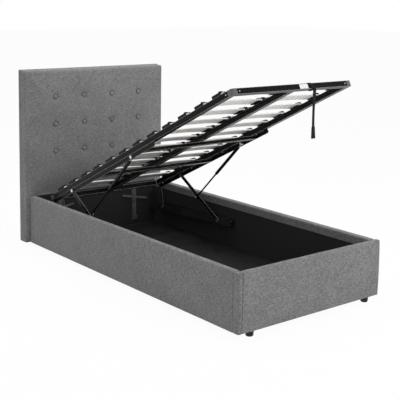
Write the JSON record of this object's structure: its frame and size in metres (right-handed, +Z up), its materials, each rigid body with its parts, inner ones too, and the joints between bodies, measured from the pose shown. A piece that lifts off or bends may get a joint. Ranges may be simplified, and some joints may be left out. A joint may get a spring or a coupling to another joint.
{
  "type": "ottoman storage bed",
  "caption": "Upholstered single bed with a buttoned headboard, and a sprung slat frame on gas struts that lifts over a storage box.",
  "frame": {"origin": "on the floor, under the middle of the whole bed's width and length", "axes": "+Z up, +Y towards the headboard, X across the bed"},
  "size_m": [1.045, 2.0415, 1.1519],
  "materials": {
    "headboard_fabric": "mid-grey woven upholstery",
    "base_fabric": "mid-grey woven upholstery",
    "back_cloth": "thin black dust cloth",
    "board": "raw chipboard, hidden under the covers",
    "black_lining": "matt black lining cloth on board",
    "floor_board": "thin dark fibreboard",
    "bearer": "planed softwood",
    "black_plastic": "moulded black plastic",
    "holder_plastic": "moulded black plastic, satin",
    "bracket_steel": "zinc-plated pressed steel",
    "black_steel": "satin black powder coat",
    "connector_grey": "moulded grey plastic",
    "fastener": "zinc-plated steel",
    "cylinder_black": "gloss black paint",
    "fitting_steel": "zinc-plated steel",
    "rod_steel": "hard chromed rod",
    "slat_wood": "pale bent plywood, clear finish",
    "label_paper": "blank white sticker",
    "webbing": "black polyester webbing"
  },
  "bodies": {
    "box": {"headboard_core": "board", "headboard_pad": "headboard_fabric", "headboard_buttons": "headboard_fabric", "headboard_back_cloth": "back_cloth", "left_rail_board": "board", "right_rail_board": "board", "left_rail_cover": "base_fabric", "right_rail_cover": "base_fabric", "foot_board": "board", "foot_board_cover": "base_fabric", "left_lining": "black_lining", "right_lining": "black_lining", "foot_lining": "black_lining", "head_panel": "black_lining", "floor_panels": "floor_board", "floor_bearers": "bearer", "floor_glides": "black_plastic", "left_foot": "black_plastic", "right_foot": "black_plastic", "left_head_foot": "black_plastic", "right_head_foot": "black_plastic", "corner_brackets": "bracket_steel", "corner_bolts": "fastener", "head_brackets": "bracket_steel", "left_base_bracket": "black_steel", "right_base_bracket": "black_steel", "base_bracket_bolts": "fastener", "base_pivot_pins": "fastener"},
    "slat_frame": {"left_side_tube": "black_steel", "right_side_tube": "black_steel", "foot_tube": "black_steel", "head_tube": "black_steel", "centre_tube": "black_steel", "corner_connectors": "connector_grey", "corner_rivets": "fastener", "front_cross_bar": "black_steel", "rear_cross_bar": "black_steel", "left_lift_bracket": "black_steel", "right_lift_bracket": "black_steel", "lift_bracket_bolts": "fastener", "upper_pivot_pins": "fastener", "left_slat_holders": "holder_plastic", "right_slat_holders": "holder_plastic", "centre_slat_holders": "holder_plastic", "left_slats": "slat_wood", "right_slats": "slat_wood", "frame_label": "label_paper", "strap_loop": "webbing"},
    "left_front_arm": {"left_front_arm": "black_steel"},
    "right_front_arm": {"right_front_arm": "black_steel"},
    "left_rear_arm": {"left_rear_arm": "black_steel"},
    "right_rear_arm": {"right_rear_arm": "black_steel"},
    "left_strut_cylinder": {"left_strut_cylinder": "cylinder_black", "left_strut_fitting": "fitting_steel"},
    "right_strut_cylinder": {"right_strut_cylinder": "cylinder_black", "right_strut_fitting": "fitting_steel"},
    "left_strut_rod": {"left_strut_rod": "rod_steel"},
    "right_strut_rod": {"right_strut_rod": "rod_steel"},
    "pull_strap": {"pull_strap": "webbing"}
  },
  "joints": [
    {"name": "left_front_arm_base_pivot", "type": "hinge", "parent": "box", "child": "left_front_arm", "pos_m": [-0.4085, 0.203, 0.188], "axis": [1, 0, 0], "range_deg": [-23.01, 0]},
    {"name": "slat_frame_lift", "type": "hinge", "parent": "left_front_arm", "child": "slat_frame", "pos_m": [-0.4085, 0.57415, 0.41101], "axis": [1, 0, 0], "range_deg": [0, 48.51]},
    {"name": "right_front_arm_base_pivot", "type": "hinge", "parent": "box", "child": "right_front_arm", "pos_m": [0.4085, 0.203, 0.188], "axis": [1, 0, 0], "range_deg": [-23.01, 0]},
    {"name": "left_rear_arm_base_pivot", "type": "hinge", "parent": "box", "child": "left_rear_arm", "pos_m": [-0.4085, 0.77, 0.16], "axis": [1, 0, 0], "range_deg": [-39.4, 0]},
    {"name": "right_rear_arm_base_pivot", "type": "hinge", "parent": "box", "child": "right_rear_arm", "pos_m": [0.4085, 0.77, 0.16], "axis": [1, 0, 0], "range_deg": [-39.4, 0]},
    {"name": "left_strut_top_pivot", "type": "hinge", "parent": "slat_frame", "child": "left_strut_cylinder", "pos_m": [-0.3915, -0.02534, 0.7034], "axis": [1, 0, 0], "range_deg": [0, 14.46]},
    {"name": "left_strut_slide", "type": "slide", "parent": "left_strut_cylinder", "child": "left_strut_rod", "axis": [0, -0.7207, 0.6932], "range_m": [0, 0.12221]},
    {"name": "right_strut_top_pivot", "type": "hinge", "parent": "slat_frame", "child": "right_strut_cylinder", "pos_m": [0.3915, -0.02534, 0.7034], "axis": [1, 0, 0], "range_deg": [0, 14.46]},
    {"name": "right_strut_slide", "type": "slide", "parent": "right_strut_cylinder", "child": "right_strut_rod", "axis": [0, -0.7207, 0.6932], "range_m": [0, 0.12221]},
    {"name": "pull_strap_swing", "type": "hinge", "parent": "slat_frame", "child": "pull_strap", "pos_m": [0.128, -0.85821, 1.11841], "axis": [1, 0, 0], "range_deg": [0, 35]}
  ],
  "couplings": [
    {"joint": "left_front_arm_base_pivot", "follows": "slat_frame_lift", "ratio": -0.46399},
    {"joint": "right_front_arm_base_pivot", "follows": "slat_frame_lift", "ratio": -0.46399},
    {"joint": "left_rear_arm_base_pivot", "follows": "slat_frame_lift", "ratio": -0.80184},
    {"joint": "right_rear_arm_base_pivot", "follows": "slat_frame_lift", "ratio": -0.80184},
    {"joint": "left_strut_top_pivot", "follows": "slat_frame_lift", "ratio": 0.28785},
    {"joint": "right_strut_top_pivot", "follows": "slat_frame_lift", "ratio": 0.28785},
    {"joint": "left_strut_slide", "follows": "slat_frame_lift", "m_per_rad": 0.14317},
    {"joint": "right_strut_slide", "follows": "slat_frame_lift", "m_per_rad": 0.14317},
    {"joint": "pull_strap_swing", "follows": "slat_frame_lift", "ratio": 0.70093}
  ]
}
